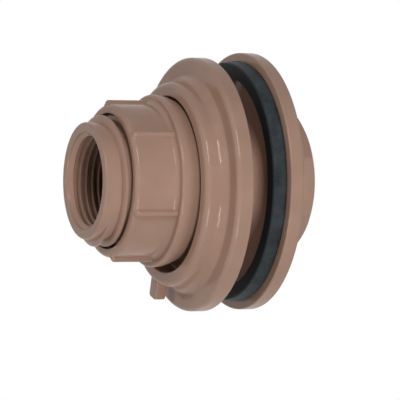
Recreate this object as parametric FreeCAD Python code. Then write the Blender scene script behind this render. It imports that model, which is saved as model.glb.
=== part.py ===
import FreeCAD, Part
import math
import os

# Tank connector: a flanged body, a sealing gasket, a loose pressure flange and a clamp nut.
# The waterway lies along Y with the outlet at -Y, and +Z is up.
# The origin is on the axis in the sealing face of the gasket. All lengths are in mm.

os.makedirs("parts", exist_ok=True)

# Waterway: pipe thread G 3/4 at the outlet, as a plain bore at its minor diameter
pipe_minor_d = 24.12
pipe_thread_len = 17.0
mouth_widen = 0.95
mouth_depth = 1.1
waterway_d = 22.0
inlet_chamfer = 0.8

# Flanged body, with a coarse outside thread from near the outlet to a plain shoulder by the gasket
outlet_reach = 41.2
thread_crest_d = 35.7
thread_depth = 1.95
thread_pitch = 3.2
thread_foot = 1.7
thread_tip = 0.9
thread_lead = 2.7
thread_start_deg = -40.0
shoulder_gap = 3.6
shoulder_ramp = 1.6
flange_d = 70.9
flange_t = 4.1
root_fillet = 1.0

# Spanner boss behind the flange
boss_sides = 8
boss_flats = 37.4
boss_len = 11.8
boss_corner_deg = 17.0
boss_end_step = 1.7
boss_end_deg = 30.0

# Sealing gasket, a ring of nearly square section inside the edge of the flange
gasket_t = 4.2
gasket_w = 3.8
gasket_inset = 2.05
gasket_flare = 0.6

# Clamp nut
nut_clear = 0.3
nut_wall = 2.75
nut_len = 23.2
nut_body_len = 12.35
nut_mouth = 0.3
nut_mouth_len = 1.8
nut_rim_step = 2.7
nut_rim_land = 2.4
nut_rim_taper = 3.3
nut_rim_round = 7.0
nut_fillet = 1.3
rib_count = 6
rib_first_deg = 35.5
rib_w = 2.1
rib_h = 1.25
rib_round = 1.0
rib_setback = 0.4

# Pressure flange, standing off the gasket by the room for a tank wall
wall_room = 6.4
rim_t = 4.8
rim_step = 6.7
land_w = 7.4
web_t = 2.6
collar_len = 6.1
collar_wall = 4.05
collar_draft = 0.15
collar_round = 1.6
flare_len = 1.45
flare_h = 1.6
flare_cove = 3.0
flare_round = 1.4
recess_clear = 0.5
recess_depth = 6.0
bore_clear = 1.0
hang = 0.95
lug_deg = -108.0
lug_w = 4.5
lug_len = 3.1
lug_reach = 4.8
lug_setback = 0.4
lug_round = 1.0

# Rounding of moulded edges
edge_fine = 0.4
edge_soft = 0.8
edge_full = 1.3

# Radii, each from the piece inside it
crest_r = thread_crest_d / 2
root_r = crest_r - thread_depth
pipe_r = pipe_minor_d / 2
waterway_r = waterway_d / 2
nut_bore_r = crest_r + nut_clear
nut_body_r = nut_bore_r + nut_wall
nut_rim_r = nut_body_r + nut_rim_step
recess_r = nut_rim_r + recess_clear
collar_r = recess_r + collar_wall
rim_r = collar_r + rim_step
flange_r = flange_d / 2
gasket_r = flange_r - gasket_inset

# Places along the axis, from the outlet to the spanner boss
outlet = -outlet_reach
thread_start = outlet + thread_lead
shoulder = -shoulder_gap
thread_stop = shoulder - shoulder_ramp / 2 - thread_foot
rim_back = -wall_room
rim_front = rim_back - rim_t
collar_front = rim_front - collar_len
seat = collar_front + recess_depth
nut_front = seat - nut_len
nut_rim_front = nut_front + nut_body_len
flange_front = gasket_t
flange_back = flange_front + flange_t
boss_back = flange_back + boss_len
axis = FreeCAD.Vector(0, 1, 0)
centre = FreeCAD.Vector(0, 0, 0)


def corner(before, at, after, r):
    """Start, middle and end of the arc of radius r that rounds a corner between two straight runs."""
    u = (before - at).normalize()
    v = (after - at).normalize()
    half = u.getAngle(v) / 2
    reach = r / math.tan(half)
    middle = (u + v).normalize() * (r / math.sin(half) - r)
    return at + u * reach, at + middle, at + v * reach


def turned(profile):
    """Solid turned about Y from a closed profile of (place, radius, corner rounding)."""
    points = [FreeCAD.Vector(r, y, 0) for y, r, _ in profile]
    count = len(points)
    edges = []
    ends = []
    for i, (_, _, rounding) in enumerate(profile):
        start = points[i]
        stop = points[i]
        if rounding > 0:
            start, middle, stop = corner(points[i - 1], points[i], points[(i + 1) % count], rounding)
            edges.append(Part.Arc(start, middle, stop).toShape())
        ends.append((start, stop))
    for i in range(count):
        edges.append(Part.makeLine(ends[i][1], ends[(i + 1) % count][0]))
    wire = Part.Wire(Part.__sortEdges__(edges))
    return Part.Face(wire).revolve(centre, axis, 360)


def radial_block(inner, outer, front, back, width, deg, rounding, nose):
    """Block standing out along a radius, rounded along its outer face and, with a nose, in front too.

    The angle deg runs from +X towards +Z.
    """
    box = Part.makeBox(outer - inner, back - front, width, FreeCAD.Vector(inner, front, -width / 2))
    tips = []
    for edge in box.Edges:
        middle = edge.CenterOfMass
        beside = abs(middle.z) > width / 2 - 1e-6
        ahead = nose and middle.y < front + 1e-6
        if middle.x > outer - 1e-6 and (beside or ahead):
            tips.append(edge)
    box = box.makeFillet(rounding, tips)
    box.rotate(centre, axis, -deg)
    return box


def spanner_boss():
    """Prism whose corners fade into a round edge at the end, where a cone cuts it."""
    corner_r = boss_flats / 2 / math.cos(math.pi / boss_sides)
    ring = []
    for i in range(boss_sides + 1):
        a = math.radians(boss_corner_deg) + 2 * math.pi * i / boss_sides
        ring.append(FreeCAD.Vector(corner_r * math.cos(a), flange_back, corner_r * math.sin(a)))
    prism = Part.Face(Part.makePolygon(ring)).extrude(axis * boss_len)
    end_r = boss_flats / 2 - boss_end_step
    wide_r = 2 * corner_r
    cone = turned([
        (flange_back, 0, 0),
        (flange_back, wide_r, 0),
        (boss_back - (wide_r - end_r) * math.tan(math.radians(boss_end_deg)), wide_r, 0),
        (boss_back, end_r, 0),
        (boss_back, 0, 0),
    ])
    return prism.common(cone)


def outside_thread():
    """Ridge swept along a right-hand helix, with its foot set into the tube that it stands on."""
    flank = (thread_foot - thread_tip) / 2 / thread_depth
    foot_r = root_r - thread_depth / 5
    foot_w = thread_tip + 2 * flank * (crest_r - foot_r)
    section = Part.makePolygon([
        FreeCAD.Vector(foot_r, 0, -foot_w / 2),
        FreeCAD.Vector(crest_r, 0, -thread_tip / 2),
        FreeCAD.Vector(crest_r, 0, thread_tip / 2),
        FreeCAD.Vector(foot_r, 0, foot_w / 2),
        FreeCAD.Vector(foot_r, 0, -foot_w / 2),
    ])
    helix = Part.Wire(Part.makeHelix(thread_pitch, thread_stop - thread_start, crest_r))
    ridge = helix.makePipeShell([section], True, True)
    ridge.rotate(centre, FreeCAD.Vector(1, 0, 0), -90)
    ridge.rotate(centre, axis, -thread_start_deg)
    ridge.translate(axis * thread_start)
    return ridge


def flanged_body():
    """Threaded tube, flange and spanner boss in one moulding, with the waterway through it."""
    outside = turned([
        (outlet, 0, 0),
        (outlet, root_r, edge_fine),
        (shoulder - shoulder_ramp / 2, root_r, 0),
        (shoulder + shoulder_ramp / 2, crest_r, 0),
        (flange_front, crest_r, root_fillet),
        (flange_front, flange_r, edge_fine),
        (flange_back, flange_r, edge_soft),
        (flange_back, 0, 0),
    ])
    inside = turned([
        (outlet, 0, 0),
        (outlet, pipe_r + mouth_widen, 0),
        (outlet + mouth_depth, pipe_r, 0),
        (outlet + pipe_thread_len, pipe_r, 0),
        (outlet + pipe_thread_len + pipe_r - waterway_r, waterway_r, 0),
        (boss_back - inlet_chamfer, waterway_r, 0),
        (boss_back, waterway_r + inlet_chamfer, 0),
        (boss_back, 0, 0),
    ])
    body = outside.fuse(spanner_boss()).cut(inside).removeSplitter()
    return body.fuse(outside_thread())


def sealing_gasket():
    """Rubber ring that lies on the flange, a little wider there than at its sealing face."""
    face_r = gasket_r - gasket_flare
    return turned([
        (0, face_r - gasket_w, edge_fine),
        (0, face_r, edge_fine),
        (flange_front, gasket_r, edge_fine),
        (flange_front, face_r - gasket_w, edge_fine),
    ])


def clamp_nut():
    """Nut with ribs to grip it by, and with a rim that narrows to where it bears on the pressure flange."""
    nut = turned([
        (nut_front + nut_mouth_len + nut_mouth, nut_bore_r, 0),
        (nut_front + nut_mouth_len, nut_bore_r + nut_mouth, 0),
        (nut_front, nut_bore_r + nut_mouth, 0),
        (nut_front, nut_body_r, edge_full),
        (nut_rim_front, nut_body_r, nut_fillet),
        (nut_rim_front, nut_rim_r, edge_soft),
        (nut_rim_front + nut_rim_land, nut_rim_r, nut_rim_round),
        (seat, nut_rim_r - nut_rim_taper, edge_soft),
        (seat, nut_bore_r, 0),
    ])
    for i in range(rib_count):
        deg = rib_first_deg + 360 * i / rib_count
        nut = nut.fuse(radial_block(nut_body_r - nut_wall / 2, nut_body_r + rib_h, nut_front + rib_setback,
                                    nut_rim_front + edge_soft, rib_w, deg, rib_round, True))
    return nut.removeSplitter()


def pressure_flange():
    """Loose ring: a recess for the rim of the nut in front, a flared collar and a hollow back.

    It hangs on the thread by its bore, so its axis is a little below that of the body.
    """
    bore_r = crest_r + bore_clear
    hollow_r = rim_r - land_w
    ring = turned([
        (seat, bore_r, 0),
        (seat, recess_r, edge_fine),
        (collar_front, recess_r, edge_fine),
        (collar_front, collar_r - collar_draft, collar_round),
        (rim_front - flare_len, collar_r, flare_cove),
        (rim_front, collar_r + flare_h, flare_round),
        (rim_front, rim_r, edge_full),
        (rim_back, rim_r, edge_fine),
        (rim_back, hollow_r, edge_fine),
        (seat + web_t, hollow_r, edge_soft),
        (seat + web_t, bore_r, 0),
    ])
    lug_front = collar_front + lug_setback
    lug = radial_block(collar_r - collar_wall / 2, collar_r + lug_reach, lug_front, lug_front + lug_len,
                       lug_w, lug_deg, lug_round, False)
    ring = ring.fuse(lug).removeSplitter()
    ring.translate(FreeCAD.Vector(0, 0, -hang))
    return ring


flanged_body().exportStep("parts/flanged_body.step")
sealing_gasket().exportStep("parts/sealing_gasket.step")
pressure_flange().exportStep("parts/pressure_flange.step")
clamp_nut().exportStep("parts/clamp_nut.step")
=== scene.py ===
import math

import bpy
import numpy as np
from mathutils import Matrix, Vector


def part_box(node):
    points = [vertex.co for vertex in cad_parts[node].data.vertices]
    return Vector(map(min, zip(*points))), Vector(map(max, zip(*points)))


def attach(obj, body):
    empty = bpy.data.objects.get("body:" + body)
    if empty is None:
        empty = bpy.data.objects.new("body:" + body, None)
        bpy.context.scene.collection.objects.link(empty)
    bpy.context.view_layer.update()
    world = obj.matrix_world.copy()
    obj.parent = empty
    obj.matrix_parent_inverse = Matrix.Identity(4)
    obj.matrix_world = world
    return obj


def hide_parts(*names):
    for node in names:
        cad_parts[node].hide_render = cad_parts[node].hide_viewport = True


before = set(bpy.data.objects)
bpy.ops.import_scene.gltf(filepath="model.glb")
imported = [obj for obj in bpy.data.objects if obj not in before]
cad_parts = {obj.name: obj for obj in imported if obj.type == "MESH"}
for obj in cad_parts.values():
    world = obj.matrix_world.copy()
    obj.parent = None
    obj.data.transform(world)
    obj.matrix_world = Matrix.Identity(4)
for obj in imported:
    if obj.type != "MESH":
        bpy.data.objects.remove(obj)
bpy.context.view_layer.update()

# Flanged body: tube, flange and spanner boss are one injection moulding in brown polypropylene.
# A coarse thread on the tube takes the clamp nut, and the outlet has a pipe thread inside.
# Lengths are in millimetres, as places along the axis from the sealing face and as radii from it.
MM = 0.001
OUTLET, BOSS_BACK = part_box("flanged_body")[0][1] / MM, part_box("flanged_body")[1][1] / MM
FLANGE_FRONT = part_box("sealing_gasket")[1][1] / MM
FLANGE_THICK = 4.1
FLANGE_BACK = FLANGE_FRONT + FLANGE_THICK
FLANGE_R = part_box("flanged_body")[1][0] / MM
CREST_R, ROOT_R, THREAD_PITCH, THREAD_FOOT, THREAD_TIP = 17.85, 15.9, 3.2, 1.7, 0.9
THREAD_START, THREAD_START_DEG, THREAD_STOP, THREAD_FADE = -38.5, 320, -3.6, 0.14
SHOULDER_RAMP = 1.6
PIPE_MAJOR_R, PIPE_MINOR_R, PIPE_PITCH, PIPE_FOOT, PIPE_TIP = 13.22, 12.06, 1.814, 1.5, 0.4
PIPE_START, PIPE_START_DEG, PIPE_STOP, PIPE_FADE = -38.3, 7, -24.2, 0.25
MOUTH_WIDEN, MOUTH_LAND, MOUTH_DEPTH = 1.2, 0.8, 1.8
WATERWAY_R, WATERWAY_TAPER, INLET_CHAMFER = 11.0, 2.2, 0.8
BOSS_FLAT_R, BOSS_END_R, BOSS_SIDES, BOSS_CORNER_DEG = 18.7, 17.0, 8, 17
BOSS_CONE_DEG, BOSS_EASE, BOSS_CORNER_EASE, BOSS_FILLET = 30, 0.3, 0.2, 0.6
HARD_EDGE_DEG = 34
ROUND_ANGLES = np.radians(BOSS_CORNER_DEG) + np.arange(240) * np.pi / 120


def moulded_line(corners, steps=7):
    """Points along straight runs between (place, radius, rounding) corners, ends included.

    Each inner corner becomes an arc tangent to both of its runs. One more point lies on each run
    close to the arc, so that the flat stretches shade flat. Without rounding a corner stays sharp.
    """
    corners = np.array(corners, dtype=float)
    at, rounding = corners[1:-1, :2], corners[1:-1, 2:]
    u, v = corners[:-2, :2] - at, corners[2:, :2] - at
    u /= np.linalg.norm(u, axis=1, keepdims=True)
    v /= np.linalg.norm(v, axis=1, keepdims=True)
    half = np.arccos((u * v).sum(axis=1, keepdims=True)) / 2
    inward = (u + v) / np.linalg.norm(u + v, axis=1, keepdims=True)
    across = (v - u) / np.linalg.norm(v - u, axis=1, keepdims=True)
    swing = np.linspace(-1, 1, steps)[:, None] * (np.pi / 2 - half)[:, None]
    middle = at + inward * rounding / np.sin(half)
    bulge = across[:, None] * np.sin(swing) - inward[:, None] * np.cos(swing)
    arc = middle[:, None] + rounding[:, None] * bulge
    reach = rounding / np.tan(half) + 0.05 * rounding
    bends = np.concatenate([(at + u * reach)[:, None], arc, (at + v * reach)[:, None]], axis=1).reshape(-1, 2)
    line = np.concatenate([corners[:1, :2], bends, corners[-1:, :2]])
    return line[np.append(True, np.linalg.norm(np.diff(line, axis=0), axis=1) > 1e-6)]


def turned(place, radius, angle=ROUND_ANGLES):
    """Closed ring whose rows run round the axis, each at its place and radius; the last meets the first.

    The rows go from the bore over the front and the outside to the back, so the faces point outwards.
    """
    place, radius, angle = np.broadcast_arrays(place, radius, angle)
    points = np.stack([radius * np.cos(angle), place, radius * np.sin(angle)], axis=-1)
    index = np.arange(place.size).reshape(place.shape)
    below, beside = np.roll(index, -1, axis=0), np.roll(index, -1, axis=1)
    faces = np.stack([index, below, np.roll(below, -1, axis=1), beside], axis=-1)
    return points.reshape(-1, 3), faces.reshape(-1, 4).tolist()


def thread_ridge(wall_r, height, foot, tip, start, start_deg, stop, pitch, fade):
    """Thread ridge: a blunt triangle carried along a right-hand helix from start to stop.

    It rises by height from the wall at wall_r, inwards where that is negative. It is foot wide at
    the wall and tip wide at the top, and over the first and last fade turns it grows from nothing.
    Its foot is sunk 0.2 mm into the wall.
    """
    sunk = -0.2 * math.copysign(1, height)
    turns = np.linspace(0, (stop - start) / pitch, int(96 * (stop - start) / pitch))[:, None]
    grown = np.clip(np.minimum(turns, turns[-1] - turns) / fade, 0, 1)
    grown = grown * grown * (3 - 2 * grown)
    side = np.array([-foot, -foot, -tip, -0.6 * tip, 0.6 * tip, tip, foot, foot]) / 2
    rise = np.array([0, 0, 0.9, 1, 1, 0.9, 0, 0]) * height * grown
    rise = rise + np.array([1, 0, 0, 0, 0, 0, 0, 1]) * sunk
    place = start + pitch * turns + side * (0.3 + 0.7 * grown)
    angle = math.radians(start_deg) - 2 * np.pi * turns
    points = np.stack([(wall_r + rise) * np.cos(angle), place, (wall_r + rise) * np.sin(angle)], axis=-1)
    index = np.arange(place.size).reshape(place.shape)
    if height < 0:
        index = index[:, ::-1]
    near, far = index[:-1], index[1:]
    faces = np.stack([near, far, np.roll(far, -1, axis=1), np.roll(near, -1, axis=1)], axis=-1)
    caps = [index[0].tolist(), index[-1, ::-1].tolist()]
    return points.reshape(-1, 3), faces.reshape(-1, 4).tolist() + caps


def moulding(name, shells, material):
    """One object from closed shells of (points in millimetres, faces), smooth except at hard edges."""
    firsts = np.cumsum([0] + [len(points) for points, _ in shells])
    points = np.concatenate([points for points, _ in shells]) * MM
    faces = [[first + i for i in face] for (_, shell), first in zip(shells, firsts) for face in shell]
    mesh = bpy.data.meshes.new(name)
    mesh.from_pydata(points.tolist(), [], faces)
    mesh.shade_smooth()
    mesh.set_sharp_from_angle(angle=math.radians(HARD_EDGE_DEG))
    mesh.materials.append(material)
    made = bpy.data.objects.new(name, mesh)
    bpy.context.scene.collection.objects.link(made)
    return made


def linear(hex_colour):
    """Linear red, green, blue and alpha of an sRGB hex colour."""
    srgb = np.array([int(hex_colour[i:i + 2], 16) for i in (1, 3, 5)]) / 255
    rgb = np.where(srgb <= 0.04045, srgb / 12.92, ((srgb + 0.055) / 1.055) ** 2.4)
    return (*rgb.tolist(), 1.0)


def add_node(tree, kind, inputs={}, links={}, ramp=()):
    """Adds one node with its fixed inputs, its linked inputs and the (position, colour) stops of a ramp."""
    made = tree.nodes.new(kind)
    for name, value in inputs.items():
        made.inputs[name].default_value = value
    for name, source in links.items():
        tree.links.new(source, made.inputs[name])
    for stop, (position, colour) in zip(made.color_ramp.elements if ramp else (), ramp):
        stop.position, stop.color = position, linear(colour)
    return made


# Injection-moulded polypropylene: one pigment all through and a satin skin from the polished mould.
# The eye sees broad faint clouds where the melt flowed, and a fine grain that softens the gloss.
CLOUD, GRAIN = 9.0, 0.35
polypropylene = bpy.data.materials.new("injection-moulded polypropylene")
polypropylene.use_nodes = True
tree = polypropylene.node_tree
tree.nodes.clear()
spot = add_node(tree, "ShaderNodeTexCoord").outputs["Object"]
cloud = add_node(tree, "ShaderNodeTexNoise", {"Scale": 1 / (CLOUD * MM), "Detail": 3}, {"Vector": spot})
grain = add_node(tree, "ShaderNodeTexNoise", {"Scale": 1 / (GRAIN * MM), "Detail": 2}, {"Vector": spot})
pigment = add_node(tree, "ShaderNodeValToRGB", links={"Fac": cloud.outputs["Fac"]},
                   ramp=[(0.3, "#9F7F6E"), (0.7, "#A68675")])
satin = add_node(tree, "ShaderNodeMapRange", {"To Min": 0.4, "To Max": 0.5}, {"Value": cloud.outputs["Fac"]})
skin = add_node(tree, "ShaderNodeBump", {"Strength": 0.15, "Distance": 0.01 * MM},
                {"Height": grain.outputs["Fac"]})
plastic = add_node(tree, "ShaderNodeBsdfPrincipled", {"IOR": 1.49, "Specular IOR Level": 0.05,
                   "Coat Weight": 0.32, "Coat Roughness": 0.1, "Coat IOR": 1.49},
                   {"Base Color": pigment.outputs["Color"], "Roughness": satin.outputs["Result"],
                    "Normal": skin.outputs["Normal"]})
add_node(tree, "ShaderNodeOutputMaterial", links={"Surface": plastic.outputs["BSDF"]})

tube_line = moulded_line([
    (OUTLET + MOUTH_DEPTH + 0.6, PIPE_MAJOR_R, 0),
    (OUTLET + MOUTH_DEPTH, PIPE_MINOR_R, 0.15),
    (OUTLET + MOUTH_LAND, PIPE_MINOR_R + MOUTH_WIDEN, 0.3),
    (OUTLET, PIPE_MINOR_R + MOUTH_WIDEN + 0.1, 0.45),
    (OUTLET, ROOT_R, 0.6),
    (THREAD_STOP - SHOULDER_RAMP / 2, ROOT_R, 0.8),
    (THREAD_STOP + SHOULDER_RAMP / 2, CREST_R, 0.8),
    (FLANGE_FRONT, CREST_R, 1.0),
    (FLANGE_FRONT, FLANGE_R, 0.4),
    (FLANGE_BACK, FLANGE_R, 0.8),
    (FLANGE_BACK, 1.2 * BOSS_FLAT_R, 0),
])[:, :, None]
bore_line = moulded_line([
    (BOSS_BACK, BOSS_END_R - 0.4, 0),
    (BOSS_BACK, WATERWAY_R + INLET_CHAMFER, 0.2),
    (BOSS_BACK - INLET_CHAMFER, WATERWAY_R, 0.2),
    (PIPE_STOP + WATERWAY_TAPER, WATERWAY_R, 0.5),
    (PIPE_STOP, PIPE_MAJOR_R, 0.5),
    (OUTLET + MOUTH_DEPTH + 0.7, PIPE_MAJOR_R, 0),
])[:, :, None]

# Flats of the spanner boss: radius = flat / cos(angle from the flat's middle), with eased corners.
# A fillet joins them to the flange, and a cone cuts their corners down to a round end.
# Rows of the grid follow the edge between flats and cone, which is eased along a parabola.
off_flat = (ROUND_ANGLES - math.radians(BOSS_CORNER_DEG)) % (2 * np.pi / BOSS_SIDES) - np.pi / BOSS_SIDES
corner_r = BOSS_FLAT_R / math.cos(np.pi / BOSS_SIDES) - BOSS_CORNER_EASE
flats = np.minimum(BOSS_FLAT_R / np.cos(off_flat), corner_r)
sweep = np.linspace(0, np.pi / 2, 6)[:, None]
fillet_place = FLANGE_BACK + BOSS_FILLET * (1 - np.cos(sweep))
fillet_r = flats + BOSS_FILLET * (1 - np.sin(sweep))
cone = math.radians(BOSS_CONE_DEG)
back, inward = BOSS_EASE * math.sin(cone), BOSS_EASE * math.cos(cone)
cone_start = BOSS_BACK - (flats - BOSS_END_R) * math.tan(cone)
bend = np.linspace(0, 1, 7)[:, None]
end_place = np.vstack([
    FLANGE_BACK + 1.5 * BOSS_FILLET + 0 * flats,
    cone_start - 1.1 * BOSS_EASE,
    cone_start - BOSS_EASE * (1 - bend) ** 2 + back * bend ** 2,
    cone_start + 1.1 * back,
    BOSS_BACK - 0.4 * back + 0 * flats,
    BOSS_BACK + 0 * flats,
])
end_r = np.vstack([
    flats,
    flats,
    flats - inward * bend ** 2,
    flats - 1.1 * inward,
    BOSS_END_R + 0.4 * inward + 0 * flats,
    BOSS_END_R + 0 * flats,
])
body_place = np.concatenate([part + 0 * ROUND_ANGLES for part in
                             (tube_line[:, 0], fillet_place, end_place, bore_line[:, 0])])
body_r = np.concatenate([part + 0 * ROUND_ANGLES for part in
                         (tube_line[:, 1], fillet_r, end_r, bore_line[:, 1])])
flanged_body = moulding("flanged_body_moulding", [
    turned(body_place, body_r),
    thread_ridge(ROOT_R, CREST_R - ROOT_R, THREAD_FOOT, THREAD_TIP, THREAD_START, THREAD_START_DEG,
                 THREAD_STOP, THREAD_PITCH, THREAD_FADE),
    thread_ridge(PIPE_MAJOR_R, PIPE_MINOR_R - PIPE_MAJOR_R, PIPE_FOOT, PIPE_TIP, PIPE_START, PIPE_START_DEG,
                 PIPE_STOP, PIPE_PITCH, PIPE_FADE),
], polypropylene)
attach(flanged_body, "connector_body")
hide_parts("flanged_body")

# Sealing gasket: a nearly square ring moulded in EPDM rubber, which lies loose on the flange.
# The tank wall presses it flat. Its side has a dusty bloom from the mould, and its sealing face is painted
# darker as painted shade.
GASKET_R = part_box("sealing_gasket")[1][0] / MM
GASKET_FLARE, GASKET_WIDTH = 0.6, 3.8
GASKET_FACE_R = GASKET_R - GASKET_FLARE
GASKET_INNER_R = GASKET_FACE_R - GASKET_WIDTH

# Moulded EPDM rubber: black right through, with a dull skin that holds dust and lint.
# The eye sees patches of grey bloom on the side, painted shade on the sealing face, a few pale specks and the
# small pores between them.
BLOOM, SPECK = 5.0, 0.6
rubber = bpy.data.materials.new("moulded EPDM rubber")
rubber.use_nodes = True
tree = rubber.node_tree
tree.nodes.clear()
spot = add_node(tree, "ShaderNodeTexCoord").outputs["Object"]
bloom = add_node(tree, "ShaderNodeTexNoise", {"Scale": 1 / (BLOOM * MM), "Detail": 5, "Roughness": 0.65},
                 {"Vector": spot})
speck = add_node(tree, "ShaderNodeTexNoise", {"Scale": 1 / (SPECK * MM), "Detail": 3}, {"Vector": spot})
place = add_node(tree, "ShaderNodeSeparateXYZ", links={"Vector": spot})
# Painted shade: within 0.1 mm of the sealing face the bloom is cut away, so the face takes the darkest colour
# in place of the shadow the pressure flange casts. From 0.6 mm on, the side has its full bloom.
side = add_node(tree, "ShaderNodeMapRange", {"From Min": 0.1 * MM, "From Max": 0.6 * MM},
                {"Value": place.outputs["Y"]})
bloom_and_painted_shade_mask = add_node(tree, "ShaderNodeMath", links={0: bloom.outputs["Fac"], 1: side.outputs["Result"]})
bloom_and_painted_shade_mask.operation = "MULTIPLY"
dust_and_painted_shade = add_node(tree, "ShaderNodeValToRGB", links={"Fac": bloom_and_painted_shade_mask.outputs[0]},
                ramp=[(0.3, "#14171A"), (0.68, "#323B3F")])
lint = add_node(tree, "ShaderNodeMapRange", {"From Min": 0.66, "From Max": 0.8, "To Max": 0.5},
                {"Value": speck.outputs["Fac"]})
grey = add_node(tree, "ShaderNodeMixRGB", {"Color2": linear("#77787B")},
                {"Fac": lint.outputs["Result"], "Color1": dust_and_painted_shade.outputs["Color"]})
pores = add_node(tree, "ShaderNodeBump", {"Strength": 0.5, "Distance": 0.06 * MM},
                 {"Height": speck.outputs["Fac"]})
ring = add_node(tree, "ShaderNodeBsdfPrincipled", {"Roughness": 0.6, "IOR": 1.5, "Specular IOR Level": 0.2},
                {"Base Color": grey.outputs["Color"], "Normal": pores.outputs["Normal"]})
add_node(tree, "ShaderNodeOutputMaterial", links={"Surface": ring.outputs["BSDF"]})

gasket_line = moulded_line([
    (FLANGE_FRONT / 2, GASKET_INNER_R, 0),
    (0, GASKET_INNER_R, 0.5),
    (0, GASKET_FACE_R, 0.5),
    (FLANGE_FRONT, GASKET_R, 0.7),
    (FLANGE_FRONT, GASKET_INNER_R, 0.4),
    (FLANGE_FRONT / 2 + 0.1, GASKET_INNER_R, 0),
])[:, :, None]
sealing_gasket = moulding("sealing_gasket_ring", [turned(gasket_line[:, 0], gasket_line[:, 1])], rubber)
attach(sealing_gasket, "connector_body")
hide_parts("sealing_gasket")

# Pressure flange: a loose polypropylene ring that the nut pushes against the outside of the tank.
# Its collar holds the rim of the nut, its back is hollow, and it hangs on the thread by its bore.
COLLAR_FRONT, RIM_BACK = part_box("pressure_flange")[0][1] / MM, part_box("pressure_flange")[1][1] / MM
RIM_THICK, RECESS_DEPTH, WEB_THICK, LAND_WIDTH = 4.8, 6.0, 2.6, 7.4
RIM_FRONT = RIM_BACK - RIM_THICK
SEAT = COLLAR_FRONT + RECESS_DEPTH
WEB_BACK = SEAT + WEB_THICK
RIM_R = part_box("pressure_flange")[1][0] / MM
COLLAR_R, RECESS_R, FLANGE_BORE_R = 28.15, 24.1, 18.85
COLLAR_DRAFT, FLARE_LENGTH, FLARE_HEIGHT = 0.15, 1.45, 1.6
FLANGE_MIDDLE = (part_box("pressure_flange")[0][2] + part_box("pressure_flange")[1][2]) / 2 / MM
LUG_DEG, LUG_WIDTH, LUG_LENGTH, LUG_R = -108, 4.5, 3.1, 32.95
LUG_SETBACK, LUG_SUNK = 0.4, 2


def tongue(inner_r, outer_r, front, back, width, deg, rounding, edge):
    """Block that stands out along a radius: a tongue with two round corners, carried along the axis.

    At both ends it draws in by a quarter round of the size edge.
    """
    swing = np.linspace(0, np.pi / 2, 9)
    out = np.concatenate([[inner_r], outer_r - rounding + rounding * np.sin(swing)])
    wide = np.concatenate([[width / 2], width / 2 - rounding + rounding * np.cos(swing)])
    lean = np.concatenate([[0], swing])
    out, wide = np.append(out, out[::-1]), np.append(wide, -wide[::-1])
    lean = np.append(lean, np.pi - lean[::-1])
    bend = np.linspace(0, np.pi / 2, 5)
    draw = edge * np.append(1 - np.sin(bend), 1 - np.cos(bend))[:, None]
    place = np.append(front + edge * (1 - np.cos(bend)), back - edge * (1 - np.sin(bend)))[:, None]
    out, wide = out - draw * np.sin(lean), wide - draw * np.cos(lean)
    turn = math.radians(deg)
    points = np.stack([out * math.cos(turn) - wide * math.sin(turn), place + 0 * out,
                       out * math.sin(turn) + wide * math.cos(turn)], axis=-1)
    index = np.arange(out.size).reshape(out.shape)
    near, far = index[:-1], index[1:]
    faces = np.stack([near, np.roll(near, -1, axis=1), np.roll(far, -1, axis=1), far], axis=-1)
    caps = [index[0, ::-1].tolist(), index[-1].tolist()]
    return points.reshape(-1, 3), faces.reshape(-1, 4).tolist() + caps


ring_line = moulded_line([
    (SEAT + WEB_THICK / 2, FLANGE_BORE_R, 0),
    (SEAT, FLANGE_BORE_R, 0.3),
    (SEAT, RECESS_R, 0.4),
    (COLLAR_FRONT, RECESS_R, 0.4),
    (COLLAR_FRONT, COLLAR_R - COLLAR_DRAFT, 1.6),
    (RIM_FRONT - FLARE_LENGTH, COLLAR_R, 3.0),
    (RIM_FRONT, COLLAR_R + FLARE_HEIGHT, 1.4),
    (RIM_FRONT, RIM_R, 1.3),
    (RIM_BACK, RIM_R, 0.4),
    (RIM_BACK, RIM_R - LAND_WIDTH, 0.4),
    (WEB_BACK, RIM_R - LAND_WIDTH, 0.8),
    (WEB_BACK, FLANGE_BORE_R, 0.3),
    (SEAT + WEB_THICK / 2 + 0.1, FLANGE_BORE_R, 0),
])[:, :, None]
lug_front = COLLAR_FRONT + LUG_SETBACK
lug = tongue(COLLAR_R - LUG_SUNK, LUG_R, lug_front, lug_front + LUG_LENGTH, LUG_WIDTH, LUG_DEG,
             rounding=1.0, edge=0.35)
pressure_flange = moulding("pressure_flange_moulding", [
    (points + np.array([0, 0, FLANGE_MIDDLE]), faces)
    for points, faces in (turned(ring_line[:, 0], ring_line[:, 1]), lug)
], polypropylene)
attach(pressure_flange, "flange")
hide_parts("pressure_flange")

# Clamp nut: a polypropylene moulding that runs on the thread of the body and pulls the flange in.
# Six ribs along it give a grip, and its rim sits in the collar of the pressure flange.
NUT_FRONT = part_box("clamp_nut")[0][1] / MM
NUT_BODY_LENGTH, NUT_MOUTH, NUT_MOUTH_DEPTH = 12.35, 0.3, 1.8
NUT_RIM_FRONT = NUT_FRONT + NUT_BODY_LENGTH
NUT_BODY_R, NUT_RIM_R, NUT_BORE_R = 20.9, 23.6, 18.15
NUT_RIM_LAND, NUT_RIM_TAPER = 2.4, 3.3
NUT_THREAD_FOOT, NUT_THREAD_TIP, NUT_THREAD_CLEAR, NUT_THREAD_DEG = 1.9, 1.1, 0.3, 300
NUT_THREAD_STOP = SEAT - 1.2
RIB_COUNT, RIB_FIRST_DEG, RIB_WIDTH, RIB_R = 6, 35.5, 2.1, 22.15
RIB_SETBACK, RIB_NOSE, RIB_SUNK = 0.3, 1.0, 0.6

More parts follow.
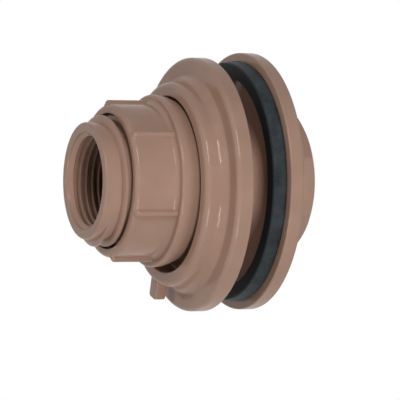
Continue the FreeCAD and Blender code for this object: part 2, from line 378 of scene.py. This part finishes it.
nut_line = moulded_line([
    (SEAT - 8, NUT_BORE_R, 0),
    (NUT_FRONT + NUT_MOUTH_DEPTH + NUT_MOUTH, NUT_BORE_R, 0.1),
    (NUT_FRONT + NUT_MOUTH_DEPTH, NUT_BORE_R + NUT_MOUTH, 0.1),
    (NUT_FRONT, NUT_BORE_R + NUT_MOUTH, 0.2),
    (NUT_FRONT, NUT_BODY_R, 1.3),
    (NUT_RIM_FRONT, NUT_BODY_R, 1.3),
    (NUT_RIM_FRONT, NUT_RIM_R, 0.7),
    (NUT_RIM_FRONT + NUT_RIM_LAND, NUT_RIM_R, 7),
    (SEAT, NUT_RIM_R - NUT_RIM_TAPER, 0.6),
    (SEAT, NUT_BORE_R, 0.3),
    (SEAT - 7.9, NUT_BORE_R, 0),
])[:, :, None]

# Ribs: across each one the radius rises as half an ellipse, and it grows as a quarter round at the front.
# The columns of the grid crowd together there: 18 of every 30 lie within 4 degrees of a rib.
off_rib = np.interp(np.arange(-30, 30) / 30, [-1, -0.6, 0.6, 1], [-30, -4, 4, 30])
nut_angles = np.radians((RIB_FIRST_DEG + 360 / RIB_COUNT * np.arange(RIB_COUNT)[:, None] + off_rib).ravel())
beside_rib = np.tile(np.abs(np.radians(off_rib)) * NUT_BODY_R, RIB_COUNT)
across = np.sqrt(np.clip(1 - (2 * beside_rib / RIB_WIDTH) ** 2, 0, 1))
nose = np.clip((nut_line[:, 0] - NUT_FRONT - RIB_SETBACK) / RIB_NOSE, 0, 1)
foot_r = NUT_BODY_R - RIB_SUNK
rib_r = foot_r + (RIB_R - foot_r) * across * np.sqrt(nose * (2 - nose))
on_body = (nut_line[:, 1] > NUT_BODY_R - 0.7) & (nut_line[:, 0] < NUT_RIM_FRONT + 0.1)
nut_r = np.where(on_body, np.maximum(nut_line[:, 1], rib_r), nut_line[:, 1])

# Its thread runs half a pitch from that of the body, so that each ridge lies in the groove of the other.
nut_thread = thread_ridge(NUT_BORE_R, ROOT_R + NUT_THREAD_CLEAR - NUT_BORE_R, NUT_THREAD_FOOT, NUT_THREAD_TIP,
                          THREAD_START + (1.5 + NUT_THREAD_DEG / 360) * THREAD_PITCH,
                          THREAD_START_DEG - NUT_THREAD_DEG, NUT_THREAD_STOP, THREAD_PITCH, THREAD_FADE)
clamp_nut = moulding("clamp_nut_moulding", [
    turned(nut_line[:, 0], nut_r, nut_angles),
    nut_thread,
], polypropylene)
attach(clamp_nut, "nut")
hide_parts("clamp_nut")

# Studio: a pale floor of matt card well below the part, which is shown as its tank wall holds it.
# Two soft boxes stand near the camera, one above and one below. Fills in front of the outlet and
# behind the flange lift the shadows, and one on the far side lights the back.
FLOOR, FLOOR_REACH = -0.42, 8
AMBIENT = 0.02
AZIMUTH, DISTANCE, LENS = 66.2, 0.8625, 281.25
VIEW_MIDDLE = (-0.0025, -0.0057, -0.0052)

# Matt white card, pressed from pulp: the eye sees plain white with a trace of fibre.
# The fibre is drawn in patches of 40 mm, because at its real size it would not show.
# To the camera and in reflections most of the white glows by itself, and the rest takes the shadow.
FIBRE = 40.0
GLOW_SHARE, GLOW = 0.85, 1.17
card = bpy.data.materials.new("matt white card")
card.use_nodes = True
tree = card.node_tree
tree.nodes.clear()
ray = add_node(tree, "ShaderNodeLightPath")
spot = add_node(tree, "ShaderNodeTexCoord").outputs["Object"]
fibre = add_node(tree, "ShaderNodeTexNoise", {"Scale": 1 / (FIBRE * MM), "Detail": 3}, {"Vector": spot})
pale = add_node(tree, "ShaderNodeValToRGB", links={"Fac": fibre.outputs["Fac"]},
                ramp=[(0.3, "#F4F4F3"), (0.7, "#F7F7F6")])
seen = add_node(tree, "ShaderNodeMath", links={0: ray.outputs["Is Camera Ray"],
                                               1: ray.outputs["Is Glossy Ray"]})
seen = add_node(tree, "ShaderNodeMath", links={0: seen.outputs[0], 1: ray.outputs["Is Transmission Ray"]})
share = add_node(tree, "ShaderNodeMapRange", {"To Max": GLOW_SHARE}, {"Value": seen.outputs[0]})
matt = add_node(tree, "ShaderNodeBsdfDiffuse", links={"Color": pale.outputs["Color"]})
glow = add_node(tree, "ShaderNodeEmission", {"Strength": GLOW})
both = add_node(tree, "ShaderNodeMixShader", links={0: share.outputs["Result"], 1: matt.outputs["BSDF"],
                                                    2: glow.outputs["Emission"]})
add_node(tree, "ShaderNodeOutputMaterial", links={"Surface": both.outputs["Shader"]})
floor_mesh = bpy.data.meshes.new("floor")
floor_mesh.from_pydata([(FLOOR_REACH * x, FLOOR_REACH * y, FLOOR)
                        for x, y in ((-1, -1), (1, -1), (1, 1), (-1, 1))], [], [(0, 1, 2, 3)])
floor_mesh.materials.append(card)
floor = bpy.data.objects.new("floor", floor_mesh)
bpy.context.scene.collection.objects.link(floor)

world = bpy.data.worlds.new("white studio")
world.use_nodes = True
bpy.context.scene.world = world
tree = world.node_tree
tree.nodes.clear()
ray = add_node(tree, "ShaderNodeLightPath")
seen = add_node(tree, "ShaderNodeMath", links={0: ray.outputs["Is Camera Ray"],
                                               1: ray.outputs["Is Glossy Ray"]})
seen = add_node(tree, "ShaderNodeMath", links={0: seen.outputs[0], 1: ray.outputs["Is Transmission Ray"]})
level = add_node(tree, "ShaderNodeMapRange", {"To Min": AMBIENT, "To Max": 1.0}, {"Value": seen.outputs[0]})
white = add_node(tree, "ShaderNodeBackground", {"Color": linear("#FFFFFF")},
                 {"Strength": level.outputs["Result"]})
add_node(tree, "ShaderNodeOutputWorld", links={"Surface": white.outputs["Background"]})

for name, azimuth, elevation, away, width, height, power, glossy in (
    ("soft_box_above", 74, 34, 0.8, 0.2, 0.34, 3.0, True),
    ("soft_box_below", 74, -34, 0.5, 0.11, 0.18, 0.88, True),
    ("front_fill", 5, 14, 0.6, 0.3, 0.3, 0.95, False),
    ("back_fill", 115, 0, 0.6, 0.3, 0.3, 0.5, False),
    ("far_side_fill", 246, 12, 0.8, 0.5, 0.5, 5.0, False),
):
    box = bpy.data.lights.new(name, "AREA")
    box.shape = "RECTANGLE"
    box.size, box.size_y = width, height
    box.energy = power
    lamp = bpy.data.objects.new(name, box)
    lift, turn = math.radians(elevation), math.radians(azimuth)
    lamp.location = (away * math.cos(lift) * math.sin(turn), -away * math.cos(lift) * math.cos(turn),
                     away * math.sin(lift))
    lamp.rotation_euler = (math.pi / 2 - lift, 0, turn)
    lamp.visible_camera = False
    lamp.visible_glossy = glossy
    bpy.context.scene.collection.objects.link(lamp)

lens = bpy.data.cameras.new("camera")
lens.sensor_width = 36
lens.lens = LENS
camera = bpy.data.objects.new("camera", lens)
turn = math.radians(AZIMUTH)
camera.location = (VIEW_MIDDLE[0] + DISTANCE * math.sin(turn), VIEW_MIDDLE[1] - DISTANCE * math.cos(turn),
                   VIEW_MIDDLE[2])
camera.rotation_euler = (math.pi / 2, 0, turn)
bpy.context.scene.collection.objects.link(camera)
bpy.context.scene.camera = camera
bpy.context.scene.view_settings.view_transform = "Standard"
